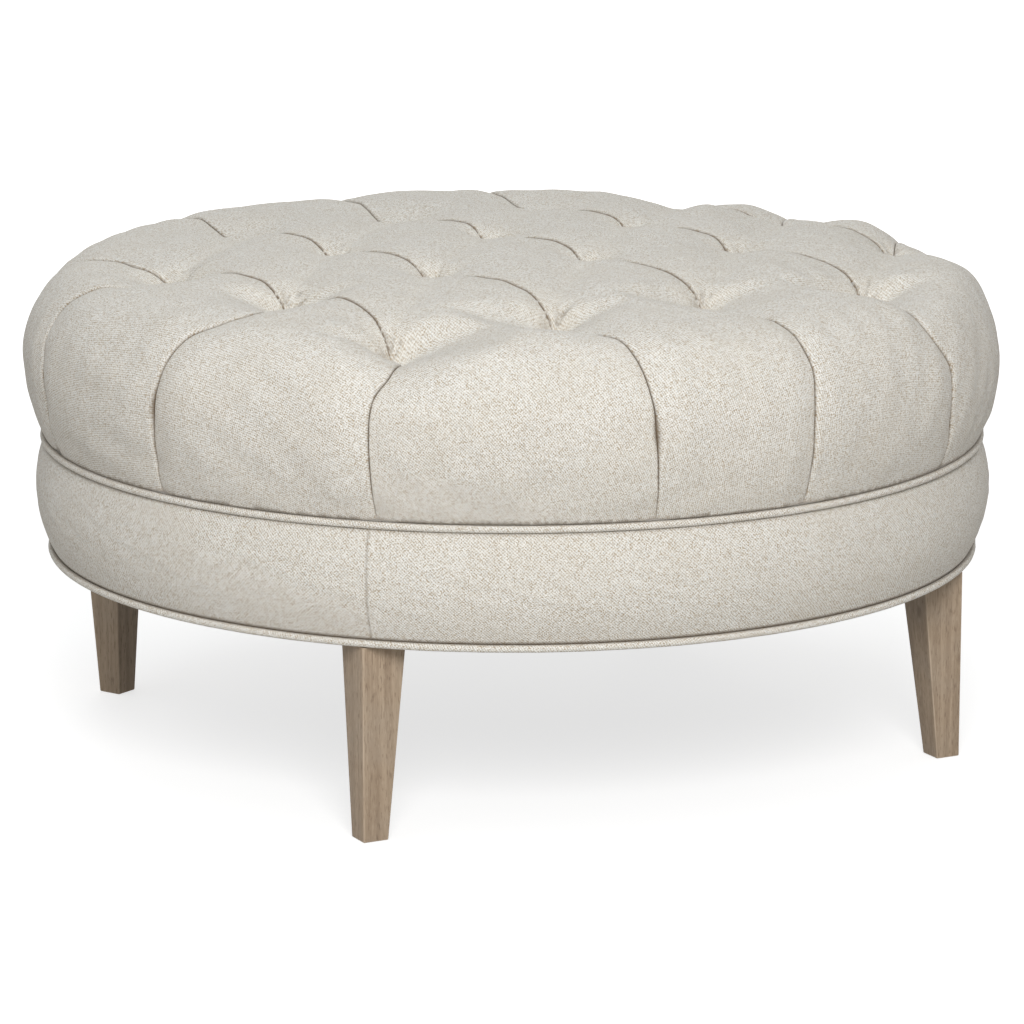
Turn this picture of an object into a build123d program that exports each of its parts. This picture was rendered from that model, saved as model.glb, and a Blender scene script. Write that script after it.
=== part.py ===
from build123d import *
from math import atan2, cos, degrees, hypot, radians, sin, sqrt
import os

# Round upholstered ottoman: four tapered wooden legs, a plywood drum frame,
# an apron band between two welts, and a deep tufted cushion on a plywood deck.
# Millimetres, +Z up, origin on the floor under the middle of the drum.
# The legs stand on a square whose sides run along X and Y.

# Heights
leg_height = 186.0
apron_height = 113.0
crown_height = 187.0

# Round sizes: the seam under the cushion leads, and the rest stands out or in from it
seam_r = 464.0
cushion_overhang = 18.5
wall_inset = 11.0
apron_bulge = 9.0
apron_foot_out = 4.0

# Thicknesses and clearances
board_t = 18.0
wall_t = 4.0
cloth_t = 1.5
dust_cloth_t = 1.0
welt_d = 7.0
soft_gap = 0.3
fit_gap = 0.1
overrun = 20.0

# Legs
leg_top = 44.5
leg_foot = 25.5
leg_place_share = 0.653
turned_leg_angle = 117.0

# Staples
staple_count = 12
staple_width = 10.0
staple_wire = 0.6
staple_grip = 3.0

# Levels worked out from the sizes above
flange_z = leg_height + dust_cloth_t + staple_wire
hem_z = flange_z + cloth_t
frame_z = hem_z + cloth_t
seam_z = frame_z + apron_height + welt_d / 2
deck_z = seam_z - board_t
crown_z = seam_z + crown_height

# Radii worked out from the sizes above: the boards end at the inside of the wall
cushion_r = seam_r + cushion_overhang
wall_r = seam_r - wall_inset
board_r = wall_r - wall_t
leg_place = seam_r * leg_place_share


def disc(radius, low, high):
    """A round plate or a straight pin between two levels."""
    return Pos(0, 0, low) * Cylinder(radius, high - low, align=(Align.CENTER, Align.CENTER, Align.MIN))


def ring(outer, inner, low, high):
    """A flat ring between two levels."""
    return disc(outer, low, high) - disc(inner, low, high)


def round_places(count, radius, first=0.0):
    """Places evenly spaced on a circle, with X pointing outwards."""
    return [Rot(0, 0, first + 360.0 * i / count) * Pos(radius, 0, 0) for i in range(count)]


def revolve_profile(outline):
    """Turn a closed outline, drawn in the XZ plane, about the drum's axis."""
    return revolve(make_face(outline), Axis.Z)


def outline_through(points):
    """Straight lines from point to point, given as (radius, level)."""
    return Polyline(*[(radius, 0, level) for radius, level in points])


def save(shape, name):
    """Write one sub-part, with its pieces as separate solids."""
    if isinstance(shape, list):
        shape = Compound([solid for piece in shape for solid in piece.solids()])
    export_step(shape, "parts/" + name + ".step")
    print(name, len(shape.solids()), "solids")


os.makedirs("parts", exist_ok=True)

# Legs: the corner that points outwards stays upright, and the two inner faces taper
bolt_r = 4.0
bolt_in_leg = 45.0
leg_turns = {"leg_back_right": 0, "leg_back_left": 90, "leg_front_left": 180, "leg_front_right": 270}
leg_places = {name: Rot(0, 0, turn) * Pos(leg_place, leg_place, 0) for name, turn in leg_turns.items()}
bolt_hole = disc(bolt_r + fit_gap, leg_height - bolt_in_leg, leg_height + overrun)


def leg_body():
    """One leg under its own middle, with its upright corner towards +X +Y."""
    foot_shift = (leg_top - leg_foot) / 2
    top = Pos(0, 0, leg_height) * Rectangle(leg_top, leg_top)
    foot = Pos(foot_shift, foot_shift, 0) * Rectangle(leg_foot, leg_foot)
    return loft([foot, top]) - bolt_hole


for leg_name, place in leg_places.items():
    extra_turn = turned_leg_angle if leg_name == "leg_back_left" else 0
    save(place * Rot(0, 0, extra_turn) * leg_body(), leg_name)

# Leg fixings: hanger bolt, tee nut and a glued corner block on the bottom ring
block_size = 80.0
block_t = 24.0
tee_flange_r = 11.0
tee_flange_t = 1.6
tee_barrel_r = 5.2
tee_barrel = 12.0
ring_top = frame_z + board_t
nut_z = ring_top + block_t
bolt_end = nut_z + tee_flange_t
bolt_passage = disc(bolt_r + fit_gap, leg_height, bolt_end)
nut_pocket = disc(tee_barrel_r + fit_gap, nut_z - tee_barrel - fit_gap, nut_z)

hanger_bolt = disc(bolt_r, leg_height - bolt_in_leg, bolt_end)
save([place * hanger_bolt for place in leg_places.values()], "hanger_bolts")

tee_barrel_pin = disc(tee_barrel_r, nut_z - tee_barrel, nut_z)
tee_nut = disc(tee_flange_r, nut_z, bolt_end) + tee_barrel_pin - bolt_passage
save([place * tee_nut for place in leg_places.values()], "tee_nuts")

leg_block = Pos(0, 0, ring_top) * Box(
    block_size, block_size, block_t, align=(Align.CENTER, Align.CENTER, Align.MIN)
)
leg_block = leg_block - nut_pocket - bolt_passage
block_space = disc(board_r, ring_top, nut_z)
save([(place * leg_block) & block_space for place in leg_places.values()], "leg_blocks")

# Screws of the frame, with their heads flush
screw_r = 2.0
screw_head_r = 4.0
screw_head_t = 2.4
post_screw_length = 45.0
deck_screw_length = 32.0
deck_screw_count = 16


def countersunk_screw(length):
    """A wood screw with the top of its head on the origin and its shank down -Z."""
    shank = disc(screw_r, -length, -screw_head_t)
    head = Pos(0, 0, -screw_head_t) * Cone(
        screw_r, screw_head_r, screw_head_t, align=(Align.CENTER, Align.CENTER, Align.MIN)
    )
    return shank + head


# Drum frame: two plywood rings, eight posts, a deck and a bent plywood wall
bottom_ring_width = 116.0
upper_ring_width = 40.0
upper_ring_z = deck_z - board_t
post_count = 8
post_width = 44.0
post_depth = 32.0
first_post = 180.0 / post_count
post_r = board_r - post_depth / 2
post_places = round_places(post_count, post_r, first_post)
post_screw = countersunk_screw(post_screw_length)
post_screws = [place * Pos(0, 0, frame_z) * Rot(180, 0, 0) * post_screw for place in post_places]
post_screws += [place * Pos(0, 0, deck_z) * post_screw for place in post_places]
deck_screw_r = board_r - upper_ring_width / 2
deck_screw_places = round_places(deck_screw_count, deck_screw_r, 180.0 / deck_screw_count)
deck_screw = Pos(0, 0, seam_z) * countersunk_screw(deck_screw_length)
deck_screws = [place * deck_screw for place in deck_screw_places]
save(post_screws, "post_screws")
save(deck_screws, "deck_screws")

post = Pos(0, 0, ring_top) * Box(
    post_depth, post_width, upper_ring_z - ring_top, align=(Align.CENTER, Align.CENTER, Align.MIN)
)
inside_wall = disc(board_r, ring_top, upper_ring_z)
save([((place * post) & inside_wall) - post_screws for place in post_places], "frame_posts")

upper_ring = ring(board_r, board_r - upper_ring_width, upper_ring_z, deck_z)
save(upper_ring - post_screws - deck_screws, "upper_ring")

# Tufts: four rows along X, their places as shares of the seam's radius
row_counts = (4, 5, 5, 4)
row_pitch_shares = (0.377, 0.3675, 0.3627, 0.350)
row_middle_shares = (-0.012, 0.112, 0.047, 0.165)
row_depth_shares = (-0.545, -0.152, 0.190, 0.500)
tuft_rows = []
for row, count in enumerate(row_counts):
    row_start = row_middle_shares[row] - row_pitch_shares[row] * (count - 1) / 2
    row_y = seam_r * row_depth_shares[row]
    tuft_rows.append([(seam_r * (row_start + row_pitch_shares[row] * i), row_y) for i in range(count)])
tufts = [tuft for row in tuft_rows for tuft in row]

# Cushion outline: a flat crown, a round shoulder, and sides drawn in to the seam
shoulder_share = 0.7996
shoulder_r = seam_r * shoulder_share
shoulder_drop = 15.0
shoulder_mid_inset = 12.0
shoulder_mid_drop = 38.0
widest_share = 0.406
crown_flat_r = 5.0


def cushion_outline(side_inset, top_inset, floor_z):
    """Half outline of the cushion, moved in from its side and top and closed at a level."""
    top_z = crown_z - top_inset
    widest_z = seam_z + widest_share * (crown_height - top_inset)
    seam = (seam_r - side_inset, 0, seam_z)
    widest = (cushion_r - side_inset, 0, widest_z)
    shoulder_mid = (seam_r - shoulder_mid_inset - side_inset, 0, top_z - shoulder_mid_drop)
    shoulder_top = (shoulder_r - side_inset, 0, top_z - shoulder_drop)
    crown_mid = (shoulder_top[0] / 2, 0, top_z - shoulder_drop / 4)
    outline = TangentArc(widest, seam, tangent=(0, 0, -1))
    crown_slope = (-shoulder_r, 0, 2 * shoulder_drop)
    outline += Spline(widest, shoulder_mid, shoulder_top, tangents=((0, 0, 1), crown_slope))
    outline += ThreePointArc(shoulder_top, crown_mid, (crown_flat_r, 0, top_z))
    outline += Line((crown_flat_r, 0, top_z), (0, 0, top_z))
    outline += Line((0, 0, top_z), (0, 0, floor_z))
    outline += Line((0, 0, floor_z), (seam[0], 0, floor_z))
    if floor_z < seam_z:
        outline += Line((seam[0], 0, floor_z), seam)
    return outline


# Tufted cover: dimples at the tufts, valleys along the pleats, and folds down the side
tuft_depth = 28.0
tuft_edge_depth = 18.0
pit_r = 46.0
valley_half = 34.0
valley_depth = 13.0
lip = 3.0
fold_depth = 5.0
fold_width = 2.4
fold_start_out = 14.0
valley_end_out = 54.0
fold_start_r = shoulder_r + fold_start_out
valley_end_r = shoulder_r + valley_end_out


def flank_middle(half, depth):
    """Middle point of a convex flank that rises from a cusp and levels out at the lip."""
    drop = depth + lip
    flank_r = (half ** 2 + drop ** 2) / (2 * drop)
    reach = half / 2
    return half - reach, lip - flank_r + sqrt(flank_r ** 2 - reach ** 2)


def crown_level(x, y):
    """Height of the crown above a place, along its main arc."""
    return crown_z - shoulder_drop * (hypot(x, y) / shoulder_r) ** 2


def pit_tool(x, y):
    """The space above one tuft: a round dimple with convex flanks, deeper towards the edge."""
    depth = tuft_depth + tuft_edge_depth * (hypot(x, y) / seam_r) ** 2
    middle = flank_middle(pit_r, depth)
    outline = ThreePointArc((0, 0, -depth), (middle[0], 0, middle[1]), (pit_r, 0, lip))
    outline += outline_through([(pit_r, lip), (pit_r, overrun), (0, overrun), (0, -depth)])
    return Pos(x, y, crown_level(x, y)) * revolve_profile(outline)


def valley_tool(start, end):
    """The space above one pleat: a straight valley with convex flanks."""
    middle = flank_middle(valley_half, valley_depth)
    section = ThreePointArc((0, -valley_depth), middle, (valley_half, lip))
    section += Polyline(
        (valley_half, lip), (valley_half, overrun), (-valley_half, overrun), (-valley_half, lip)
    )
    section += ThreePointArc((-valley_half, lip), (-middle[0], middle[1]), (0, -valley_depth))
    start_point = Vector(start[0], start[1], crown_level(*start))
    end_point = Vector(end[0], end[1], crown_level(*end))
    run = end_point - start_point
    plane = Plane(origin=start_point, x_dir=(-run.Y, run.X, 0), z_dir=run)
    return extrude(plane * make_face(section), amount=run.length, dir=run.normalized())


def fold_tool(angle):
    """A narrow fold that runs over the shoulder and down to the seam."""
    keep = make_face(cushion_outline(fold_depth, fold_depth, seam_z - overrun))
    width = cushion_r + overrun - fold_start_r
    height = crown_height + 2 * overrun
    sheet = Plane.XZ * Rectangle(width, height, align=(Align.MIN, Align.MIN))
    sheet = Pos(fold_start_r, 0, seam_z - overrun) * sheet
    fold = extrude(sheet - keep, amount=fold_width / 2, dir=(0, 1, 0), both=True)
    return Rot(0, 0, angle) * fold


# Inner pleats join tufts of neighbouring rows, given as (row, tuft, tuft in the next row)
pleats = [(1, 4, 4)]
for i in range(4):
    pleats += [(0, i, i), (0, i, i + 1), (1, i, i), (1, i, i + 1), (2, i, i), (2, i + 1, i)]
valleys = [valley_tool(tuft_rows[row][i], tuft_rows[row + 1][j]) for row, i, j in pleats]

# Border pleats run from a tuft to the rim, given as (row, tuft, angle on the rim)
border_pleats = [
    (0, 0, -133.7), (0, 1, -101.3), (0, 2, -80.7), (0, 3, -54.0), (1, 4, -34.0), (1, 4, -11.5),
    (2, 4, 20.0), (3, 3, 44.5), (3, 2, 70.0), (3, 1, 90.5), (3, 0, 117.0), (2, 0, 138.6),
    (2, 0, 166.7), (1, 0, -162.7),
]
folds = []
for row, i, angle in border_pleats:
    rim = (valley_end_r * cos(radians(angle)), valley_end_r * sin(radians(angle)))
    valleys.append(valley_tool(tuft_rows[row][i], rim))
    folds.append(fold_tool(angle))

# Layers of the cushion: foam core, fibre wrap, then the puffed cover with its stapled skirt
puff_top = 50.0
wrap_t = 12.0
skirt_drop = 38.0
foam_hole_r = 7.0
wrap_hole_r = 5.0
deck_hole_r = 4.0
puffs = revolve_profile(cushion_outline(0, 0, seam_z))
wrap_space = revolve_profile(cushion_outline(wall_inset, puff_top, seam_z))
wrap_body = revolve_profile(cushion_outline(wall_inset + soft_gap, puff_top + soft_gap, seam_z))
foam_side = wall_inset + wrap_t
foam_top = puff_top + wrap_t
foam_space = revolve_profile(cushion_outline(foam_side, foam_top, seam_z))
foam_body = revolve_profile(cushion_outline(foam_side + soft_gap, foam_top + soft_gap, seam_z))
foam_holes = [Pos(x, y, 0) * disc(foam_hole_r, seam_z, crown_z) for x, y in tufts]
wrap_holes = [Pos(x, y, 0) * disc(wrap_hole_r, seam_z, crown_z) for x, y in tufts]
deck_holes = [Pos(x, y, 0) * disc(deck_hole_r, deck_z, seam_z) for x, y in tufts]

skirt_foot = seam_z - skirt_drop
hollow = revolve_profile(cushion_outline(wall_inset, puff_top, skirt_foot))
skirt = disc(wall_r + cloth_t, skirt_foot, seam_z + cloth_t)
cover = (puffs + skirt - hollow).cut(*[pit_tool(x, y) for x, y in tufts], *valleys, *folds)
save(foam_body - foam_holes, "foam_core")
save((wrap_body - foam_space) - wrap_holes, "fibre_wrap")


# Staples: a crown and two legs pushed into wood
def staple(depth):
    """A staple with its crown above the origin and its legs down -Z."""
    leg_x = (staple_width - staple_wire) / 2
    crown = Box(staple_width, staple_wire, staple_wire, align=(Align.CENTER, Align.CENTER, Align.MIN))
    prong = Box(staple_wire, staple_wire, depth, align=(Align.CENTER, Align.CENTER, Align.MAX))
    return crown + Pos(leg_x, 0, 0) * prong + Pos(-leg_x, 0, 0) * prong


def wall_staples(radius, level, first):
    """Staples driven inwards round the drum, with crowns on a radius and a level."""
    driven = Pos(0, 0, level) * Rot(0, 90, 0) * Rot(0, 0, 90) * staple(radius - wall_r + staple_grip)
    return [place * driven for place in round_places(staple_count, radius, first)]


def under_staples(radius, level, first):
    """Staples driven upwards round the drum, with crowns under a level."""
    driven = Pos(0, 0, level) * Rot(180, 0, 0) * Rot(0, 0, 90) * staple(frame_z - level + staple_grip)
    return [place * driven for place in round_places(staple_count, radius, first)]


# Rows of staples on the wall, each below the edge of the cloth laid over it
stagger = 8.0
half_pitch = 180.0 / staple_count
welt_foot = skirt_foot + stagger
band_foot = welt_foot + stagger
strip_top = seam_z - welt_d - soft_gap - cloth_t - soft_gap
tack_t = 1.2
skirt_out = wall_r + cloth_t
flange_out = skirt_out + cloth_t
band_edge_out = flange_out + cloth_t
strip_out = band_edge_out + tack_t
cover_staples = wall_staples(skirt_out, skirt_foot + stagger / 2, 0)
welt_staples = wall_staples(flange_out, welt_foot + stagger / 2, half_pitch)
strip_staples = wall_staples(strip_out, band_foot + stagger, 0)
save(cover.cut(*cover_staples, *welt_staples, *strip_staples), "tufted_cover")
save(cover_staples, "cover_staples")
save(welt_staples, "welt_staples")
save(strip_staples, "tack_strip_staples")
wall = ring(wall_r, board_r, frame_z, seam_z)
save(wall - cover_staples - welt_staples - strip_staples, "frame_wall")

# Middle welt: a cloth tube round a cord, with a flange stapled over the cover's skirt
cord_space_r = welt_d / 2 - cloth_t
cord_r = cord_space_r - fit_gap
middle_welt_r = seam_r + soft_gap
middle_welt_z = seam_z - welt_d / 2 - soft_gap


def section_band(inner, outer, low, high):
    """A flat strip of cloth in the XZ section, between two radii and two levels."""
    middle = Pos((inner + outer) / 2, 0, (low + high) / 2)
    return middle * (Plane.XZ * Rectangle(outer - inner, high - low))


# The two ends of each welt meet in a fine joint at the back
welt_joint_angle = 52.0
welt_arc = 360 - degrees(soft_gap / seam_r)
middle_tube = Pos(middle_welt_r, 0, middle_welt_z)
lip_band = section_band(skirt_out, middle_welt_r, middle_welt_z - cloth_t / 2, middle_welt_z + cloth_t / 2)
flange_band = section_band(skirt_out, flange_out, welt_foot, middle_welt_z)
welt_section = middle_tube * (Plane.XZ * Circle(welt_d / 2)) + lip_band + flange_band
welt_section -= middle_tube * (Plane.XZ * Circle(cord_space_r))
middle_welt = Rot(0, 0, welt_joint_angle) * revolve(welt_section, Axis.Z, welt_arc)
save(middle_welt - welt_staples - strip_staples, "middle_welt")
cord_section = Plane.XZ * Circle(cord_r)
save(revolve(middle_tube * cord_section, Axis.Z), "middle_welt_cord")

# Apron band: tacked under the middle welt, bulged over its padding, and turned under the frame
hem_width = 28.0
flange_width = 23.0
dust_inset = 7.0
hem_inner_r = wall_r - hem_width
flange_inner_r = wall_r - flange_width
dust_r = wall_r - dust_inset
apron_bottom_r = wall_r + apron_foot_out
band_top = strip_top + cloth_t
bottom_welt_r = wall_r + soft_gap + cloth_t + soft_gap + welt_d / 2
bottom_welt_z = flange_z + welt_d / 2 - (staple_wire + dust_cloth_t) / 2
band_foot_z = bottom_welt_z + welt_d / 2
bulge_height_share = 0.64
bulge_z = band_foot_z + (band_top - band_foot_z) * bulge_height_share
hem_out = wall_r + soft_gap + cloth_t
seam_angle = -134.0
seam_width = 1.0
seam_depth = 0.8


def apron_arc(inset, low, high):
    """The bulged outline of the apron, moved in by an inset."""
    bulge = (seam_r + apron_bulge - inset, 0, bulge_z)
    return ThreePointArc((seam_r - inset, 0, high), bulge, (apron_bottom_r - inset, 0, low))


band_outline = apron_arc(0, band_foot_z, band_top)
band_outline += outline_through([
    (apron_bottom_r, band_foot_z), (hem_out, band_foot_z - cloth_t), (hem_out, hem_z),
    (hem_inner_r, hem_z), (hem_inner_r, frame_z), (hem_out - cloth_t, frame_z),
    (hem_out - cloth_t, band_foot_z), (apron_bottom_r - cloth_t, band_foot_z + cloth_t),
])
band_outline += apron_arc(cloth_t, band_foot_z + cloth_t, strip_top)
band_outline += outline_through([
    (seam_r - cloth_t, strip_top), (band_edge_out, strip_top), (band_edge_out, band_foot),
    (flange_out, band_foot), (flange_out, band_top), (seam_r, band_top),
])
band = revolve_profile(band_outline)
seam_sheet = apron_arc(seam_depth, band_foot_z, band_top)
seam_sheet += outline_through([
    (apron_bottom_r - seam_depth, band_foot_z), (cushion_r, band_foot_z), (cushion_r, band_top),
    (seam_r - seam_depth, band_top),
])
band_seam = extrude(make_face(seam_sheet), amount=seam_width / 2, dir=(0, 1, 0), both=True)
band_seam = Rot(0, 0, seam_angle) * band_seam
apron_staple_r = (flange_inner_r + wall_r) / 2
apron_staples = under_staples(apron_staple_r, flange_z, half_pitch)
dust_staples = under_staples((dust_r + apron_staple_r) / 2, leg_height, 0)
bolt_passages = [place * bolt_passage for place in leg_places.values()]
save(band - band_seam - strip_staples - apron_staples - dust_staples - bolt_passages, "apron_band")
save(apron_staples, "apron_staples")
save(dust_staples, "dust_cover_staples")

tack_strip = ring(strip_out, band_edge_out, band_foot, strip_top)
save(tack_strip - strip_staples, "tack_strip")

# Padding between the wall and the band, cut back where the edges of cloth are tacked
pad_gap = cloth_t + soft_gap
pad_foot = band_foot_z + cloth_t + soft_gap
pad_top = strip_top - soft_gap
pad_in = wall_r + soft_gap
notch_r = strip_out + staple_wire + soft_gap
notch_z = skirt_foot - soft_gap
pad_outline = apron_arc(pad_gap, pad_foot, pad_top)
pad_outline += outline_through([
    (apron_bottom_r - pad_gap, pad_foot), (pad_in, pad_foot), (pad_in, notch_z), (notch_r, notch_z),
    (notch_r, pad_top), (seam_r - pad_gap, pad_top),
])
save(revolve_profile(pad_outline), "apron_padding")

# Bottom welt, stapled over the apron's hem under the frame
bottom_tube = Pos(bottom_welt_r, 0, bottom_welt_z)
welt_section = bottom_tube * (Plane.XZ * Circle(welt_d / 2))
welt_section += section_band(flange_inner_r, bottom_welt_r, flange_z, hem_z)
welt_section -= bottom_tube * (Plane.XZ * Circle(cord_space_r))
bottom_welt = Rot(0, 0, welt_joint_angle) * revolve(welt_section, Axis.Z, welt_arc)
save(bottom_welt - apron_staples - dust_staples - bolt_passages, "bottom_welt")
save(revolve(bottom_tube * cord_section, Axis.Z), "bottom_welt_cord")

# Dust cover under the frame, clamped by the legs and stapled round its edge
dust_cover = disc(dust_r, leg_height, leg_height + dust_cloth_t)
save(dust_cover - bolt_passages - dust_staples, "dust_cover")

bottom_ring = ring(board_r, board_r - bottom_ring_width, frame_z, ring_top)
save(bottom_ring - bolt_passages - post_screws - apron_staples - dust_staples, "bottom_ring")

# Tuft twine: from each tuft down through the deck, turned along its underside and stapled
twine_r = 0.9
twine_bend_r = 3.0
twine_tail = 14.0
twine_z = deck_z - twine_r
twine_path = Line((0, 0, crown_z), (0, 0, twine_z + twine_bend_r))
twine_path += TangentArc((0, 0, twine_z + twine_bend_r), (twine_bend_r, 0, twine_z), tangent=(0, 0, -1))
twine_path += Line((twine_bend_r, 0, twine_z), (twine_bend_r + twine_tail, 0, twine_z))
twine = sweep(Pos(0, 0, crown_z) * Circle(twine_r), path=twine_path)
tail_staple = Pos(twine_bend_r + twine_tail / 2, 0, deck_z - 2 * twine_r) * Rot(180, 0, 0) * Rot(0, 0, 90)
tail_staple *= staple(2 * twine_r + staple_grip)
twine_places = [Pos(x, y, 0) * Rot(0, 0, degrees(atan2(-y, -x))) for x, y in tufts]
twine_staples = [place * tail_staple for place in twine_places]
below_cover = wrap_space + disc(board_r, deck_z - overrun, seam_z)
save([(place * twine) & below_cover for place in twine_places], "tuft_twine")
save(twine_staples, "twine_staples")

# Deck board, drilled for the tufts
deck = disc(board_r, deck_z, seam_z)
save(deck - deck_holes - deck_screws - twine_staples, "deck_board")
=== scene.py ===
from math import asin, atan2, cos, dist, hypot, pi, radians, sin, sqrt

import bmesh
import bpy
import numpy as np
from mathutils import Matrix, Vector, geometry
from numpy.linalg import norm


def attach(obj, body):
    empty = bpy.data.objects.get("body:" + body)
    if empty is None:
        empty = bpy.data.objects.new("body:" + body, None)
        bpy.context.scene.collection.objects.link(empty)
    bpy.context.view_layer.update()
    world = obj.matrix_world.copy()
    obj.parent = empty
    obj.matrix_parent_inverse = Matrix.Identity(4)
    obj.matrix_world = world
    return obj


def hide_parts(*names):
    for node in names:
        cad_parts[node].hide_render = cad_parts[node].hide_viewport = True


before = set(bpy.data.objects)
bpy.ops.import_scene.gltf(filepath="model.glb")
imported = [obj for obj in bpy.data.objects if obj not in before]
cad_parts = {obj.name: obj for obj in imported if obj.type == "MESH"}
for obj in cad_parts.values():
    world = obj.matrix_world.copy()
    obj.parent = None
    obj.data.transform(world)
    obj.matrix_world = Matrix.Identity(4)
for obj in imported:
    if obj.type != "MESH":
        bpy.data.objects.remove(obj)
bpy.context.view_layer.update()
scene = bpy.context.scene
print("frame loaded:", len(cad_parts), "nodes")


class Values(dict):    # a dictionary whose values are also read as values.name
    __getattr__ = dict.__getitem__


# camera and lamps
viewSet = Values(
    lens=175.78,    # a long lens, from about five metres away
    sensor=36.0,
    clip=(0.1, 100.0),
    azimuth=-27.7,
    elevation=11.72,
    pitch=12.76,
    distance=4.978,
    aim=(0.0, 0.0, 0.307),
)


def addCamera():
    a, e = radians(viewSet.azimuth), radians(viewSet.elevation)
    back = Vector((sin(a) * cos(e), -cos(a) * cos(e), sin(e)))
    data = bpy.data.cameras.new("studioCamera")
    data.lens, data.sensor_width = viewSet.lens, viewSet.sensor
    data.clip_start, data.clip_end = viewSet.clip
    camera = bpy.data.objects.new("studioCamera", data)
    camera.location = Vector(viewSet.aim) + back * viewSet.distance
    camera.rotation_euler = (radians(90 - viewSet.pitch), 0, a)
    scene.collection.objects.link(camera)
    scene.camera = camera


lightSet = Values(
    lamps={
        "key": {"place": (-1.72, -3.70, 2.75), "size": 2.0, "power": 131.0, "tint": (1.0, 0.995, 0.98)},
        "top": {"place": (-0.3, 0.6, 3.8), "size": 2.6, "power": 17.0, "tint": (0.84, 0.94, 1.0)},
        "rear": {"place": (1.5, 3.9, 1.5), "size": 2.4, "power": 30.0, "tint": (1.0, 0.995, 0.98)},
    },
    aim=(0.0, 0.0, 0.3),
    world=0.40,    # what lights the object; what is seen straight has 1
    worldTint=(1.0, 0.995, 0.985, 1.0),
)


def addLight(name, spec):
    data = bpy.data.lights.new(name, "AREA")
    data.shape = "DISK"
    data.size = spec["size"]
    data.energy = spec["power"]
    data.color = spec["tint"]
    lamp = bpy.data.objects.new(name, data)
    lamp.location = spec["place"]
    aim = Vector(lightSet.aim) - lamp.location
    lamp.rotation_euler = aim.to_track_quat("-Z", "Y").to_euler()
    scene.collection.objects.link(lamp)


# shader maths: one wrapper for a socket, one maker for a node
class Wire:    # a socket that takes + - * /

    def __init__(self, tree, socket):
        self.tree, self.socket = tree, socket

    def maths(self, operation, other=0.0, flip=False):
        node = self.tree.nodes.new("ShaderNodeMath")
        node.operation = operation
        for slot, value in zip(node.inputs, (other, self) if flip else (self, other)):
            put(self.tree, slot, value)
        return Wire(self.tree, node.outputs[0])

    def __add__(self, other):
        return self.maths("ADD", other)

    def __sub__(self, other):
        return self.maths("SUBTRACT", other)

    def __rsub__(self, other):
        return self.maths("SUBTRACT", other, True)

    def __mul__(self, other):
        return self.maths("MULTIPLY", other)

    def __truediv__(self, other):
        return self.maths("DIVIDE", other)

    def __rtruediv__(self, other):
        return self.maths("DIVIDE", other, True)

    __radd__, __rmul__ = __add__, __mul__


def put(tree, slot, value):
    if isinstance(value, Wire):
        tree.links.new(value.socket, slot)
    elif isinstance(value, tuple) and slot.type == "RGBA" and len(value) == 3:
        slot.default_value = (*value, 1.0)
    else:
        slot.default_value = value


class Finish:    # a material and short ways to add its nodes

    def __init__(self, name):
        self.material = bpy.data.materials.new(name)
        self.material.use_nodes = True
        self.tree = self.material.node_tree
        self.tree.nodes.clear()

    def node(self, kind, settings=None, out=0, **values):    # i0 is the first input, other keys are inputs' names
        node = self.tree.nodes.new("ShaderNode" + kind)
        for key, value in (settings or {}).items():
            if key == "stops":
                ramp = node.color_ramp
                while len(ramp.elements) < len(value):
                    ramp.elements.new(0.5)
                for element, (at, colour) in zip(ramp.elements, value):
                    element.position = at
                    element.color = (*colour, 1.0)
            else:
                setattr(node, key, value)
        for key, value in values.items():
            slot = node.inputs[int(key[1:]) if key[1:].isdigit() else key.replace("_", " ")]
            put(self.tree, slot, value)
        return Wire(self.tree, node.outputs[out])

    def mix(self, factor, first, second):
        node = self.tree.nodes.new("ShaderNodeMix")
        node.data_type = "RGBA"
        for index, value in ((0, factor), (6, first), (7, second)):
            put(self.tree, node.inputs[index], value)
        return Wire(self.tree, node.outputs[2])

    def place(self):    # in the object's own measure
        return self.node("TexCoord", out=3)

    def given(self, name):    # a value that the mesh carries
        return self.node("Attribute", {"attribute_name": name}, out=2)

    def noise(self, vector, scale, detail=2.0, roughness=0.5):
        return self.node("TexNoise", Vector=vector, Scale=scale, Detail=detail, Roughness=roughness)

    def grain(self, place, stretch, detail, roughness):    # noise with a scale of its own on each axis
        return self.noise(self.node("Mapping", Vector=place, Scale=stretch), 1.0, detail, roughness)

    def scatter(self, x, y):    # a chance number for each pair of whole numbers
        return self.node("TexWhiteNoise", {"noise_dimensions": "2D"}, Vector=self.node("CombineXYZ", i0=x, i1=y))

    def ramp(self, value, low, high):
        return self.node("MapRange", {"interpolation_type": "SMOOTHSTEP"}, Value=value, From_Min=low, From_Max=high)

    def glaze(self, colour, value, low, high, share, tone):    # a share of a tone where the value is high
        return self.mix(self.ramp(value, low, high) * share, colour, tone)

    def surface(self, **values):
        shader = self.tree.nodes.new("ShaderNodeBsdfPrincipled")
        for key, value in values.items():
            put(self.tree, shader.inputs[key.replace("_", " ")], value)
        output = self.tree.nodes.new("ShaderNodeOutputMaterial")
        self.tree.links.new(shader.outputs[0], output.inputs[0])
        return self.material

    def bump(self, height, strength, distance):
        return self.node("Bump", Height=height, Strength=strength, Distance=distance)


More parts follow.
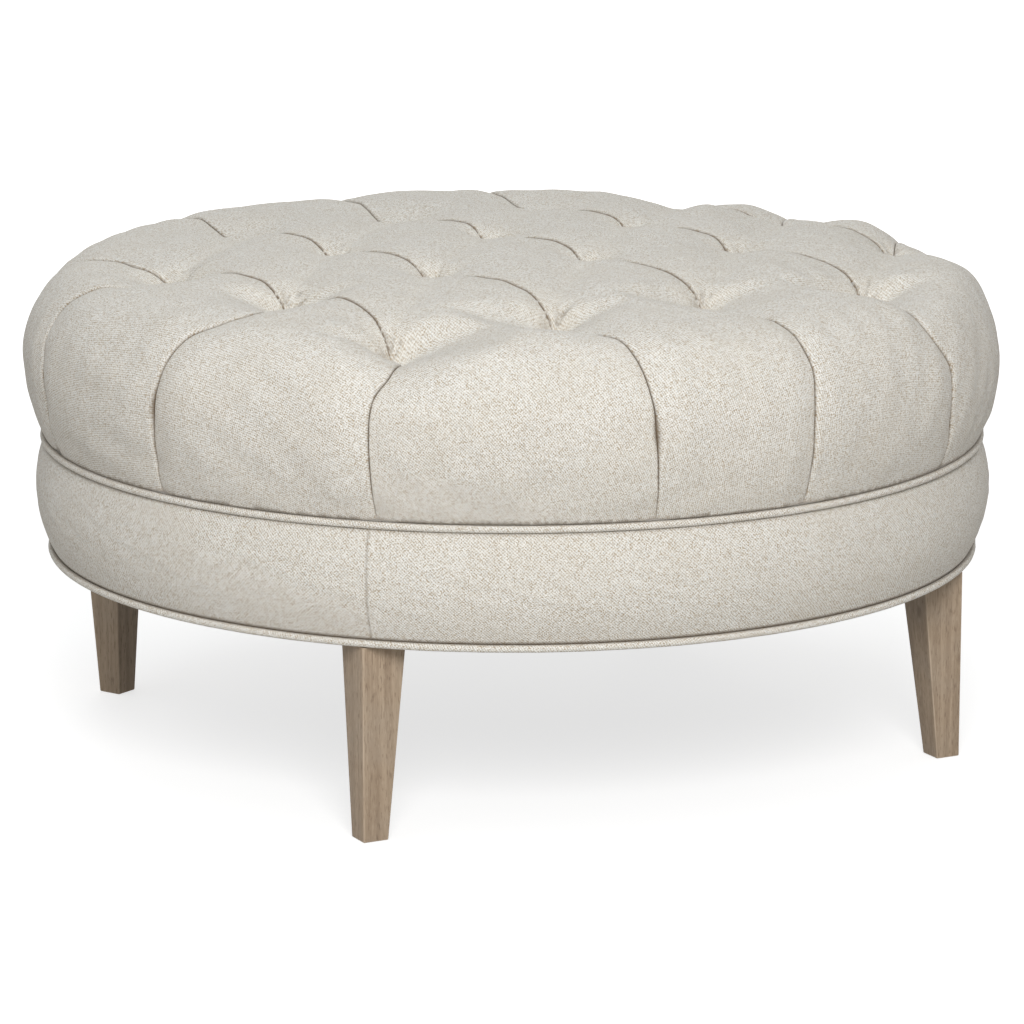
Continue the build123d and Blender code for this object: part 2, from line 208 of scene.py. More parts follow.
clothSet = Values(
    light=(0.91, 0.900, 0.868),
    cream=(0.79, 0.762, 0.700),
    beige=(0.66, 0.605, 0.515),
    mist=(0.64, 0.665, 0.670),
    brown=(0.45, 0.365, 0.265),
    # warm cream of the painted bounce light in hollows
    hollow=(0.83, 0.78, 0.69),
    # colour of the painted shade in creases, tuft pits, gathers and seams
    shade=(0.155, 0.105, 0.060),
    tones=[(0.0, "brown"), (0.15, "brown"), (0.27, "beige"), (0.40, "cream"), (0.50, "mist"), (0.58, "cream"),
           (0.74, "light")],
    yarn=0.00100,    # width of one yarn
    twill=0.0022,    # from one diagonal rib to the next
    drift=(45.0, 0.0022),    # how closely and how far the yarns wander
    stray=(260.0, 0.8),    # the same for the ribs
    cellLong=0.5, cellStep=0.37, cellMoves=(11.0, 47.0),    # one tone for two crossings of a yarn
    slub=(3.0, 2.0),    # size in yarns
    crossing=(-0.25, 0.25),
    chances=(0.72, 0.62, 0.12, 0.23),
    ribs=(0.6, 0.4),
    patch=(16.0, 3.0), patchAt=(0.35, 0.75, 0.22),
    # painted shade in the gaps between ribs and painted highlight on the ribs
    dipAt=(0.20, 0.72), dipShare=0.58, ridgeAt=(0.60, 0.90, 0.50),
    warmShare=0.28,
    relief=(0.6, 0.8), bump=(0.75, 0.0006),
    surface={"Roughness": 0.93, "Sheen_Weight": 0.06, "Sheen_Roughness": 0.5, "Specular_IOR_Level": 0.15},
)


def clothFinish(name, mapName):    # linen tweed: slubby yarns in cream, beige, grey and a little brown
    f, c = Finish(name), clothSet
    uv = f.node("UVMap", {"uv_map": mapName})
    scale, reach = c.drift
    drift = f.node("TexNoise", out=1, Vector=uv, Scale=scale, Detail=2.0)
    bent = f.node("VectorMath", {"operation": "MULTIPLY_ADD"}, i0=drift, i1=(reach, reach, 0.0), i2=uv)
    x, y = (f.node("SeparateXYZ", out=i, Vector=bent) * (1.0 / c.yarn) for i in (0, 1))
    over = (x * pi).maths("SINE") * (y * pi).maths("SINE")
    cells = []
    for across, along, move in zip((x, y), (y, x), c.cellMoves):
        row = across.maths("FLOOR")
        cells.append(f.scatter(row + move, (along * c.cellLong + row * c.cellStep).maths("FLOOR")))
    cell = f.node("Mix", {"data_type": "FLOAT"}, i0=f.ramp(over, *c.crossing), i2=cells[0], i3=cells[1])
    fine = f.scatter(x.maths("FLOOR"), y.maths("FLOOR"))
    slub = f.scatter(*((way / size).maths("FLOOR") for way, size in zip((x, y), c.slub)))
    ofCell, ofFine, ofSlub, less = c.chances
    chance = cell * ofCell + fine * ofFine + slub * ofSlub - less
    pitch, stray = c.yarn / c.twill * sqrt(0.5), f.noise(uv, c.stray[0], 1.0) * c.stray[1]
    slants = ((x + y) * pitch + stray, (x - y) * pitch + stray)
    oneWay, otherWay = ((slant * pi).maths("SINE").maths("ABSOLUTE") for slant in slants)
    rib = oneWay * c.ribs[0] + otherWay * c.ribs[1]
    yarn = f.node("ValToRGB", {"stops": [(at, c[tone]) for at, tone in c.tones]}, Fac=chance)
    yarn = f.glaze(yarn, f.noise(uv, *c.patch), *c.patchAt, c.beige)
    # painted shade in the gaps between the diagonal ribs, and a painted highlight on their tops
    gapShade = 1.0 - f.ramp(rib, *c.dipAt)
    yarn = f.mix(gapShade * c.dipShare, yarn, c.brown)
    yarn = f.glaze(yarn, rib, *c.ridgeAt, c.light)
    # painted warm bounce light in tuft pits, valleys and beside creases; on the welts an even warm tint
    yarn = f.mix(f.given("warmth") * c.warmShare, yarn, c.hollow)
    # painted shade: darker in creases, tuft pits, gathers, along seams and where parts meet
    yarn = f.mix(f.given("crease"), yarn, c.shade)
    height = rib * c.relief[0] + chance * c.relief[1]
    return f.surface(Base_Color=yarn, Normal=f.bump(height, *c.bump), **c.surface)


woodSet = Values(
    light=(0.455, 0.350, 0.252),
    dark=(0.320, 0.236, 0.164),
    grey=(0.41, 0.335, 0.262),
    pore=(0.155, 0.105, 0.070),
    # pale tone for the grain, also the painted highlight on the arrises
    worn=(0.56, 0.45, 0.34),
    grains={
        "broad": ((120.0, 120.0, 2.6), 5.0, 0.65), "streak": ((560.0, 560.0, 11.0), 3.0, 0.6),
        "pores": ((760.0, 760.0, 105.0), 2.0, 0.5), "wear": ((60.0, 60.0, 22.0), 3.0, 0.5),
    },
    cloud=(18.0, 3.0),
    broadAt=(0.36, 0.64),
    layers=[("cloud", (0.40, 0.72, 0.5), "grey"), ("streak", (0.52, 0.70, 0.34), "dark"),
            ("pores", (0.57, 0.68, 0.50), "pore"), ("pores", (0.44, 0.30, 0.30), "worn")],
    knots={"Location": (0.3, 0.1, 0.0), "Scale": (24.0, 24.0, 14.0)}, knotAt=(0.04, 0.13), knotShare=0.55,
    wornAt=(0.30, 0.62), wornShare=0.75,
    relief=(0.4, 0.6), bump=(0.35, 0.0003), rough=(0.52, 0.2), gloss=0.35,
)


def legFinish():    # weathered taupe stain over straight grain: fine open pores, a few knots, and a painted highlight, broken up, along the arrises
    f, c = Finish("weatheredWood"), woodSet
    place = f.place()
    grains = {name: f.grain(place, *spec) for name, spec in c.grains.items()}
    grains["cloud"] = f.noise(place, *c.cloud)
    colour = f.mix(f.ramp(grains["broad"], *c.broadAt), c.dark, c.light)
    for name, amount, tone in c.layers:
        colour = f.glaze(colour, grains[name], *amount, c[tone])
    knots = f.node("TexVoronoi", Vector=f.node("Mapping", Vector=place, **c.knots), Scale=1.0)
    colour = f.mix((1.0 - f.ramp(knots, *c.knotAt)) * c.knotShare, colour, c.pore)
    # painted highlight: the bevel faces of the arrises made paler, broken up by noise
    arrisHighlight = f.given("arris") * f.ramp(grains["wear"], *c.wornAt)
    colour = f.mix(arrisHighlight * c.wornShare, colour, c.worn)
    height = grains["streak"] * c.relief[0] + grains["pores"] * c.relief[1]
    rough = c.rough[0] + grains["broad"] * c.rough[1]
    return f.surface(Base_Color=colour, Roughness=rough, Specular_IOR_Level=c.gloss, Normal=f.bump(height, *c.bump))


plySet = Values(
    light=(0.66, 0.51, 0.34), dark=(0.50, 0.36, 0.22), line=(0.38, 0.26, 0.15), layer=0.0029,
    grain=((6.0, 160.0, 40.0), 4.0, 0.6), grainAt=(0.3, 0.7), lineAt=(0.45, 0.55, 0.25),
    rough=0.65, bump=(0.2, 0.0004),
)


def plyFinish():
    f, c = Finish("birchPly"), plySet
    place = f.place()
    layer = (f.node("SeparateXYZ", out=2, Vector=place) * (1.0 / c.layer)).maths("FRACT")
    grain = f.grain(place, *c.grain)
    colour = f.mix(f.ramp(grain, *c.grainAt), c.dark, c.light)
    colour = f.glaze(colour, layer, *c.lineAt, c.line)
    return f.surface(Base_Color=colour, Roughness=c.rough, Normal=f.bump(grain, *c.bump))


steelSet = Values(light=(0.68, 0.68, 0.67), dark=(0.52, 0.53, 0.54), cloud=(300.0, 3.0), rough=(0.28, 0.2))


def steelFinish():
    f, c = Finish("zincSteel"), steelSet
    cloud = f.noise(f.place(), *c.cloud)
    rough = c.rough[0] + cloud * c.rough[1]
    return f.surface(Base_Color=f.mix(cloud, c.dark, c.light), Metallic=1.0, Roughness=rough)


fibreSet = Values(cloud=(4.0, 0.7), at=(0.35, 0.65), rough=0.95, bump=(0.5, 0.001))


def fibreFinish(name, light, dark, scale):
    f, c = Finish(name), fibreSet
    cloud = f.noise(f.place(), scale, *c.cloud)
    colour = f.mix(f.ramp(cloud, *c.at), dark, light)
    return f.surface(Base_Color=colour, Roughness=c.rough, Normal=f.bump(cloud, *c.bump))


nonWovenSet = Values(
    light=(0.045, 0.044, 0.043), dark=(0.012, 0.012, 0.013), dots=520.0, fuzz=(900.0, 3.0, 0.7),
    relief=(0.6, 0.4), rough=0.9, bump=(0.4, 0.0004),
)


def dustFinish():    # black non-woven cloth with pressed dots
    f, c = Finish("blackDustCloth"), nonWovenSet
    place = f.place()
    dots = f.node("TexVoronoi", Vector=place, Scale=c.dots)
    fuzz = f.noise(place, *c.fuzz)
    colour = f.mix(fuzz, c.dark, c.light)
    height = dots * c.relief[0] + fuzz * c.relief[1]
    return f.surface(Base_Color=colour, Roughness=c.rough, Normal=f.bump(height, *c.bump))


finishes = {
    "cloth": clothFinish("creamTweed", "cloth"),
    "leg": legFinish(),
    "ply": plyFinish(),
    "steel": steelFinish(),
    "foam": fibreFinish("softFoam", (0.86, 0.82, 0.66), (0.74, 0.69, 0.52), 260.0),
    "fibre": fibreFinish("whiteFibre", (0.88, 0.88, 0.86), (0.72, 0.72, 0.70), 120.0),
    "twine": fibreFinish("flaxTwine", (0.58, 0.50, 0.37), (0.40, 0.33, 0.23), 900.0),
    "cord": fibreFinish("weltCord", (0.80, 0.78, 0.72), (0.62, 0.60, 0.54), 700.0),
    "card": fibreFinish("greyCard", (0.55, 0.45, 0.32), (0.44, 0.36, 0.26), 350.0),
    "dust": dustFinish(),
}
print("finishes made:", len(finishes))
nodesOfFinish = {
    "ply": ["frame_wall", "frame_posts", "leg_blocks", "upper_ring", "bottom_ring", "deck_board"],
    "steel": ["hanger_bolts", "tee_nuts", "post_screws", "deck_screws", "cover_staples", "welt_staples",
              "tack_strip_staples", "apron_staples", "dust_cover_staples", "twine_staples"],
    "card": ["tack_strip"], "twine": ["tuft_twine"], "cord": ["middle_welt_cord", "bottom_welt_cord"],
    "foam": ["foam_core"], "fibre": ["fibre_wrap", "apron_padding"], "dust": ["dust_cover"],
    "cloth": ["tufted_cover", "apron_band", "middle_welt", "bottom_welt"],
    "leg": ["leg_front_left", "leg_front_right", "leg_back_right", "leg_back_left"],
}
for finish, nodeNames in nodesOfFinish.items():
    for nodeName in nodeNames:
        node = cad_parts[nodeName]
        node.data.materials.clear()
        node.data.materials.append(finishes[finish])


def newPiece(name, points, faces, finish):
    mesh = bpy.data.meshes.new(name)
    mesh.from_pydata([tuple(p) for p in points], [], [tuple(f) for f in faces])
    mesh.update()
    mesh.validate()
    piece = bpy.data.objects.new(name, mesh)
    scene.collection.objects.link(piece)
    mesh.materials.append(finishes[finish])
    mesh.polygons.foreach_set("use_smooth", [True] * len(mesh.polygons))
    return piece


def farFrom(flat):    # how far flat places lie from the middle
    return np.hypot(flat[:, 0], flat[:, 1])


def giveMap(piece, uv):    # one map named cloth, from a place on the flat cloth for every vertex
    mesh = piece.data
    layer = mesh.uv_layers.new(name="cloth")
    loops = np.zeros(len(mesh.loops), np.int64)
    mesh.loops.foreach_get("vertex_index", loops)
    layer.data.foreach_set("uv", np.asarray(uv, np.float32)[loops].ravel())


def giveValue(piece, name, values):
    attribute = piece.data.attributes.new(name, "FLOAT", "POINT")
    attribute.data.foreach_set("value", np.asarray(values, np.float32))


shiftMost = 6.28    # chance shift of a wave, about a whole turn
mergeGap = 1e-7

# tufted cover
coverSet = Values(
    seed=11, crown=0.4941, seam=0.3071, seamR=0.464, shoulderR=0.371, shoulderDrop=0.015, middleR=0.452,
    middleDrop=0.038, widestR=0.4822, widestHeight=0.0759,
    outlineWays=[(0.9969, -0.0806), (0.72, -0.694), (0.0, -1.0)],    # at shoulder, middle and widest place
    outlinePulls=(1.0, 1.1), outlineSteps=(160, 90, 80), normalStep=0.0006,
    tuftDepth=0.031, tuftEdgeDepth=0.018, pitR=0.047, dishR=0.112, dishShare=0.36,
    slantDepth=0.0105, slantSpread=(0.85, 1.15),
    borderDepth=0.0048, borderReach=0.112, frontReach=0.150,    # front: how far those of the four front tufts reach
    laterDepth=0.012,    # where a second fold starts from the same tuft
    sway={"lapped": 0.035, "soft": 0.02}, swaySpread=0.02, swayAt=(0.35, 0.68, 0.8),
    along=0.0036, pathSteps=24, pathMargin=0.09, blend=2.6,
    waves=((0.16, 0.0014), (0.085, 0.0009), (0.040, 0.0005)),    # length and height
    waveCount=6, waveLift=0.0004, waveEnd=(0.585, 0.610),
    mostAt=([0.40, 0.47, 0.50, 0.618], [0.047, 0.030, 0.0098, 0.0090]), leastDrawn=-0.002,
    # painted shade at the rim beside the seam
    seamShade=0.55, seamShadeAt=(0.0018, 0.0006),
    lip=[(-0.0008, -0.0001), (-0.004, -0.0002)],    # turned in at the seam
    skirtR=0.4542, skirtFoot=0.2706, skirt=[(0.0012, -0.0004), (0.0, -0.0016), (0.0, -0.018)],
    skirtIn=(0.4532, 0.4530, -0.010),    # inner radius at its foot and top, and that top
    hollow=[(0.453, 0.3071), (0.4715, 0.3627), (0.441, 0.4061), (0.360, 0.4280), (0.180, 0.4404), (0.002, 0.4441)],
    hollowStep=0.022, skirtMap=1.02, clothTurn=27.7,
)
# tufts, row by row from the front, as the flat cloth has them: place and extra depth
tufts = {
    "I": (-0.264, -0.262, 0.003), "J": (-0.093, -0.262, -0.001), "N": (0.073, -0.255, -0.006),
    "Q": (0.254, -0.256, -0.003),
    "B": (-0.281, -0.075, 0.001), "H": (-0.122, -0.069, 0.002), "K": (0.050, -0.069, 0.003),
    "O": (0.219, -0.069, -0.004), "R": (0.402, -0.076, -0.013),
    "A": (-0.323, 0.092, -0.010), "D": (-0.151, 0.090, -0.005), "F": (0.022, 0.088, 0.001),
    "L": (0.190, 0.088, -0.006), "P": (0.368, 0.083, -0.017),
    "C": (-0.177, 0.237, -0.014), "E": (-0.009, 0.234, -0.008), "G": (0.158, 0.232, -0.015),
    "M": (0.327, 0.229, -0.026),
}
# folds whose front edge laps over the cloth behind, and softer ones, by their two tufts
lappedFolds = {"IB": 0.0040, "JH": 0.0065, "NK": 0.0080, "QO": 0.0080, "BA": 0.0060, "HD": 0.0070, "KF": 0.0080,
               "OL": 0.0080, "RP": 0.0070, "DC": 0.0070, "FE": 0.0070, "LG": 0.0070, "PM": 0.0070}
softFolds = ["IH", "JK", "NO", "QR", "BD", "HF", "KL", "OP", "AC", "DE", "FG", "LM"]
# border folds: tuft, then places on the cloth as (distance from the middle along the cloth, angle)
borderFolds = [
    ("A", [(0.392, 173.0), (0.478, 169.4), (0.524, 171.3), (0.560, 172.3), (0.6166, 171.2)], -1),
    ("A", [(0.370, 157.8), (0.400, 152.8), (0.500, 147.0), (0.6166, 144.0)], -1),
    ("B", [(0.390, -156.2), (0.470, -160.6), (0.522, -161.8), (0.552, -161.9), (0.6166, -162.5)], -1),
    ("I", [(0.400, -132.6), (0.462, -132.2), (0.498, -133.4), (0.540, -133.6), (0.6166, -133.2)], -1),
    ("J", [(0.340, -109.5), (0.430, -103.8), (0.498, -102.0), (0.536, -101.7), (0.6166, -101.2)], 1),
    ("N", [(0.340, -79.5), (0.424, -81.0), (0.484, -81.2), (0.534, -82.0), (0.6166, -82.0)], 1),
    ("Q", [(0.420, -55.0), (0.470, -58.6), (0.512, -56.8), (0.552, -56.8), (0.6166, -55.2)], 1),
    ("R", [(0.440, -20.0), (0.500, -24.0), (0.6166, -26.0)], 1),
    ("R", [(0.450, -2.0), (0.520, 2.0), (0.6166, 3.0)], -1),
    ("P", [(0.420, 19.0), (0.500, 22.0), (0.6166, 22.5)], -1),
    ("M", [(0.440, 40.0), (0.520, 43.5), (0.6166, 44.5)], -1),
    ("G", [(0.340, 61.0), (0.430, 66.0), (0.520, 69.0), (0.6166, 70.0)], -1),
    ("E", [(0.300, 91.0), (0.420, 88.0), (0.520, 90.0), (0.6166, 90.5)], -1),
    ("C", [(0.344, 121.5), (0.420, 116.0), (0.520, 117.0), (0.6166, 117.0)], -1),
]
seedSource = np.random.default_rng(coverSet.seed)


def outlineTable():    # half outline of the cushion: radius and height against distance along the cloth
    c = coverSet
    crownSteps, sideSteps, footSteps = c.outlineSteps
    r = np.linspace(0.0, c.shoulderR, crownSteps)
    rows = [np.stack([r, c.crown - c.shoulderDrop * (r / c.shoulderR) ** 2], 1)]
    start = np.array([c.shoulderR, c.crown - c.shoulderDrop])
    middle = np.array([c.middleR, c.crown - c.middleDrop])
    widest = np.array([c.widestR, c.seam + c.widestHeight])
    ways = [np.array(way) for way in c.outlineWays]
    for a, b, wayA, wayB, pull in zip((start, middle), (middle, widest), ways, ways[1:], c.outlinePulls):
        t = np.linspace(0, 1, sideSteps)[1:, None]
        reach = norm(b - a) * pull
        rows.append((2 * t**3 - 3 * t**2 + 1) * a + (t**3 - 2 * t**2 + t) * wayA * reach
                    + (3 * t**2 - 2 * t**3) * b + (t**3 - t**2) * wayB * reach)
    drop, inward = c.widestHeight, c.widestR - c.seamR
    bend = (drop**2 + inward**2) / (2 * inward)
    turn = np.linspace(0, asin(drop / bend), footSteps)[1:]
    rows.append(np.stack([c.widestR - bend + bend * np.cos(turn), widest[1] - bend * np.sin(turn)], 1))
    table = np.concatenate(rows)
    along = np.concatenate([[0], np.cumsum(norm(np.diff(table, axis=0), axis=1))])
    return along, table


alongTable, rzTable = outlineTable()
clothReach = alongTable[-1]


def onBase(flat):    # base surface and outward normal for places on the flat cloth
    s = farFrom(flat)
    angle = np.arctan2(flat[:, 1], flat[:, 0])
    step = coverSet.normalStep

    def outlineAt(far):
        return np.stack([np.interp(far, alongTable, rzTable[:, k]) for k in (0, 1)])

    r, z = outlineAt(s)
    dr, dz = outlineAt(s + step) - outlineAt(s - step)
    dr = np.where(s < 2 * step, 1.0, dr)
    dz = np.where(s < 2 * step, 0.0, dz)
    length = np.hypot(dr, dz)
    nr, nz = -dz / length, dr / length
    cosA, sinA = np.cos(angle), np.sin(angle)
    return np.stack([r * cosA, r * sinA, z], 1), np.stack([nr * cosA, nr * sinA, nz], 1)


def smoothPath(points, step):    # a rounded path through the given flat places
    points = [np.array(p, float) for p in points]
    ends = [2 * points[0] - points[1], *points, 2 * points[-1] - points[-2]]
    made = []
    for i in range(1, len(ends) - 2):
        p0, p1, p2, p3 = ends[i - 1:i + 3]
        t = np.linspace(0, 1, coverSet.pathSteps, endpoint=False)[:, None]
        made.append(0.5 * (2 * p1 + (p2 - p0) * t + (2 * p0 - 5 * p1 + 4 * p2 - p3) * t**2
                           + (3 * p1 - p0 - 3 * p2 + p3) * t**3))
    line = np.concatenate([*made, points[-1][None]])
    far = np.concatenate([[0], np.cumsum(norm(np.diff(line, axis=0), axis=1))])
    count = max(3, round(far[-1] / step))
    at = np.linspace(0, far[-1], count + 1)
    return np.stack([np.interp(at, far, line[:, k]) for k in (0, 1)], 1)


def polar(s, degrees):
    return (s * cos(radians(degrees)), s * sin(radians(degrees)))


def pitDepth(x, y, more):    # tufts near the edge are deeper
    c = coverSet
    return c.tuftDepth + c.tuftEdgeDepth * (x * x + y * y) / c.seamR ** 2 + more


def makeFolds():    # every fold as a path on the flat cloth, with its depth, kind and the side that laps over
    c, folds, usedTufts = coverSet, [], []
    early, late, lateShare = c.swayAt
    for pair in [*lappedFolds, *softFolds]:
        a, b = (np.array(tufts[k][:2]) for k in pair)
        kind = "lapped" if pair in lappedFolds else "soft"
        side = np.array([-(b - a)[1], (b - a)[0]])
        sway = seedSource.uniform(-c.swaySpread, c.swaySpread) - c.sway[kind]
        bent = [a + (b - a) * early + side * sway, a + (b - a) * late + side * sway * lateShare]
        depth = lappedFolds.get(pair) or c.slantDepth * seedSource.uniform(*c.slantSpread)
        folds.append(Values(path=smoothPath([a, *bent, b], c.along), kind=kind, side=1, depth=depth))
    for name, places, side in borderFolds:
        path = smoothPath([tufts[name][:2], *(polar(s, d) for s, d in places)], c.along)
        start = c.laterDepth if name in usedTufts else pitDepth(*tufts[name])
        usedTufts.append(name)
        reach = c.frontReach if name in "IJNQ" else c.borderReach
        folds.append(Values(path=path, kind="border", side=side, depth=start, open=name in "BJ", reach=reach))
    return folds


folds = makeFolds()


def nearPath(flat, path):    # distance to a path, the same with its side as sign, and share along it
    farAway = 1e9
    best = np.full(len(flat), farAway)
    signed, share = np.zeros(len(flat)), np.zeros(len(flat))
    low, high = path.min(0) - coverSet.pathMargin, path.max(0) + coverSet.pathMargin
    inside = np.nonzero(((flat > low) & (flat < high)).all(1))[0]
    p = flat[inside]
    near, sign, at = np.full(len(p), farAway), np.zeros(len(p)), np.zeros(len(p))
    count = len(path) - 1
    for i in range(count):
        a, d = path[i], path[i + 1] - path[i]
        rel = p - a
        t = np.clip(rel @ d / (d @ d), 0, 1)
        away = rel - t[:, None] * d
        offBy = farFrom(away)
        closer = offBy < near
        near = np.where(closer, offBy, near)
        sign = np.where(closer, np.sign(d[0] * rel[:, 1] - d[1] * rel[:, 0]), sign)
        at = np.where(closer, (i + t) / count, at)
    best[inside], signed[inside], share[inside] = near, sign * near, at
    return best, signed, share


def softStep(x, low, high):
    t = np.clip((x - low) / (high - low), 0, 1)
    return t * t * (3 - 2 * t)


def bell(x, wide):
    return np.exp(-(x / wide) ** 2)


def cone(away, blunt, wide):    # nearly one in the middle, nothing at the given distance
    return np.clip(1 - np.sqrt(away**2 + blunt**2) / wide, 0, 1)


def turnGap(angle, turn):    # from one angle to another the short way round
    return (angle - turn + pi) % (2 * pi) - pi


def pathWays(path):    # the way that a path runs at each of its points
    ways = np.gradient(path, axis=0)
    return ways / norm(ways, axis=1)[:, None]


class Drawn:    # what is found for every place: wide and sharp depth, sideways lap, painted shade and painted warm bounce light

    def __init__(self, count):
        self.wide, self.sharp, self.crease, self.warmth = (np.zeros(count) for _ in range(4))
        self.lap = np.zeros((count, 2))

    def sink(self, depth):
        self.wide += depth ** coverSet.blend

    def shade(self, amount):
        self.crease = np.maximum(self.crease, amount)

    def paintBounce(self, amount):
        self.warmth = np.maximum(self.warmth, amount)


tuftSet = Values(
    blunt=0.0025, roundShare=0.45, steepShare=0.55, steep=2.2, dishPower=1.6,
    gathers=13, leaning=8, lean=(0.85, 0.5),
    width=(0.035, 0.08), reach=(0.020, 0.055), height=(0.0008, 0.0022),
    ridgeStart=(0.003, 0.011), ridgeShare=0.4,
    lineStart=(0.002, 0.008), lineShares=(0.3, 0.8), lineShades=(0.15, 0.45), lineWide=0.0009,
    # amounts and reaches of the painted bounce light, painted shade and painted shadow at the pit
    warmth=0.8, warmReach=(0.008, 0.045), hole=0.7, holeReach=(0.001, 0.0045),
    shadow=0.30, shadowAt=(-0.006, 0.003), shadowR=0.006,
)


def drawTuft(made, flat, x, y, more):    # the pit, the dish round it and the gathers that run out from it
    c, t = coverSet, tuftSet
    away = flat - np.array([x, y])
    rho = farFrom(away)
    k = cone(rho, t.blunt, c.pitR)
    pit = t.roundShare * (1 - np.sqrt(np.clip(1 - k * k, 0, 1))) + t.steepShare * k ** t.steep
    dish = np.clip(1 - rho / c.dishR, 0, 1) ** t.dishPower
    made.sink(pitDepth(x, y, more) * (pit + (dish - pit) * c.dishShare))
    angle = np.arctan2(away[:, 1], away[:, 0])
    for n in range(t.gathers):    # most of them run towards the soft fold
        turn = seedSource.normal(*t.lean) if n < t.leaning else seedSource.uniform(-pi, pi)
        width, reach = seedSource.uniform(*t.width), seedSource.uniform(*t.reach)
        gap = np.abs(turnGap(angle, turn))
        line = softStep(rho, *t.lineStart) * (1 - softStep(rho, *(reach * share for share in t.lineShares)))
        # a painted shade line along each gather
        made.shade(t.lineShades[n % 2] * line * bell(gap * rho, t.lineWide))
        ridge = seedSource.uniform(*t.height) * bell(gap, width)
        made.sharp += ridge * softStep(rho, *t.ridgeStart) * (1 - softStep(rho, reach * t.ridgeShare, reach))
    # painted warm bounce light in the pit, painted shade at its centre and a painted shadow beside it
    made.paintBounce(t.warmth * (1 - softStep(rho, *t.warmReach)))
    made.shade(t.hole * (1 - softStep(rho, *t.holeReach)))
    beside = away - np.array(t.shadowAt)
    made.shade(t.shadow * bell(farFrom(beside), t.shadowR))


softSet = Values(
    blunt=0.007, half=0.052, gain=1.2, steep=1.8, warmth=0.5, warmWide=0.014,
    line=0.0007, lineWide=0.0014, lineStart=(0.0, 0.1), lineEnd=(0.30, 0.55),
)


def drawSoft(made, fold, near, share):    # a rounded valley with a short line at its start
    s = softSet
    made.sink(fold.depth * s.gain * cone(near, s.blunt, s.half) ** s.steep)
    # painted warm bounce light along the valley
    made.paintBounce(s.warmth * bell(near, s.warmWide))
    line = s.line * bell(near, s.lineWide) * softStep(share, *s.lineStart)
    made.sharp += line * (1 - softStep(share, *s.lineEnd))


# painted shade along creases and painted warm bounce light beside them
creaseSet = Values(shade=0.96, least=0.5, warmth=0.6, warmWide=0.014)


def paintCreaseLight(made, near, flap, fade, wide):    # painted shade along a creased fold and painted warm bounce light beside it
    s = creaseSet
    made.shade(s.shade * fade**0.5 * bell(near, wide * (s.least + (1 - s.least) * fade)))
    made.paintBounce(s.warmth * fade * ~flap * bell(near, s.warmWide))


lappedSet = Values(
    half=(0.052, 0.056), blunt=0.001, steep=(1.15, 1.5),    # on the flap and beyond it
    least=0.80, rise=1.4, shallow=0.46,    # depth along the fold
    start=(0.0, 0.05), end=(0.58, 0.86), slot=0.0022, slotWide=0.0009,
    proud=0.0008, sinkWide=0.010, proudAt=0.003, proudWide=0.003, lineWide=(0.0005, 0.0009),
)


def drawLapped(made, fold, near, signed, share):    # the front edge laps over the cloth behind
    s, flap = lappedSet, signed > 0
    k = cone(near, s.blunt, np.where(flap, *s.half))
    deep = fold.depth * (s.least + s.rise * (2 * (share - s.shallow)) ** 2)
    made.sink(deep * k ** np.where(flap, *s.steep))
    fade = softStep(share, *s.start) * (1 - softStep(share, *s.end))
    made.sharp += fade * (s.slot * bell(near, s.slotWide))
    # the far side stands a little proud, so the slot shows from the front
    made.sharp -= fade * np.where(flap, -s.proud * bell(near, s.sinkWide),
                                  s.proud * bell(near - s.proudAt, s.proudWide))
    # painted shade along the slot and painted bounce light beside it
    paintCreaseLight(made, near, flap, fade, np.where(flap, *s.lineWide))


borderSet = Values(
    startShare=0.97, fall=1.15, less=0.35, lessAt=(0.52, 0.60), later=6,
    aheadAt=(-0.022, 0.014), runAt=(0.03, 0.15), leanAt=(0.0, 0.030),
    half=0.080, narrow=0.044, leanHalf=0.035, leanNarrow=0.030, blunt=0.0015,
    steep=1.15, runSteep=0.70, leanSteep=0.25,
    start=(0.004, 0.018), end=(0.57, 0.60), endLess=0.5,
    slot=0.0028, slotWide=0.0009, openWide=0.0019, openAt=0.530, openLong=0.016,
    under=0.0012, underWide=0.010, proud=0.0008, proudAt=0.005, proudWide=0.004,
    lap=0.0011, lapAt=0.0012, lapWide=0.0022,
)


def drawBorder(made, flat, fold, near, signed, share, far, radius):    # a pleat over the shoulder to the seam
    c, s, flap = coverSet, borderSet, signed > 0
    start = fold.depth * s.startShare * np.clip(1 - far / fold.reach, 0, 1) ** s.fall
    grow = start + c.borderDepth * (1 - s.less * softStep(radius, *s.lessAt))
    first, later = fold.path[0], fold.path[s.later]
    ahead = (flat - first) @ (later - first) / norm(later - first)
    run = softStep(far, *s.runAt)
    frontTuft = fold.reach > c.borderReach    # the puffs between these fall away to one side
    lean = softStep(ahead, *s.leanAt) * (signed < 0) * frontTuft
    half = s.half - s.narrow * run + lean * (s.leanHalf - s.leanNarrow * run)
    steep = s.steep + s.runSteep * run - s.leanSteep * lean
    made.sink(grow * softStep(ahead, *s.aheadAt) * cone(near, s.blunt, half) ** steep)
    fade = softStep(far, *s.start) * (1 - s.endLess * softStep(radius, *s.end))
    wide = s.slotWide + s.openWide * bell(radius - s.openAt, s.openLong) * fold.open
    made.sharp += fade * (s.slot * bell(near, wide) + s.under * ~flap * bell(near, s.underWide))
    made.sharp -= fade * flap * s.proud * bell(near - s.proudAt, s.proudWide)
    ways = pathWays(fold.path)
    way = ways[np.clip((share * (len(ways) - 1)).round().astype(int), 0, len(ways) - 1)]
    across = np.stack([way[:, 1], -way[:, 0]], 1) * fold.side
    made.lap += across * (fade * flap * s.lap * bell(near - s.lapAt, s.lapWide))[:, None]
    # painted shade along the slot and painted bounce light beside it
    paintCreaseLight(made, near, flap, fade, wide)


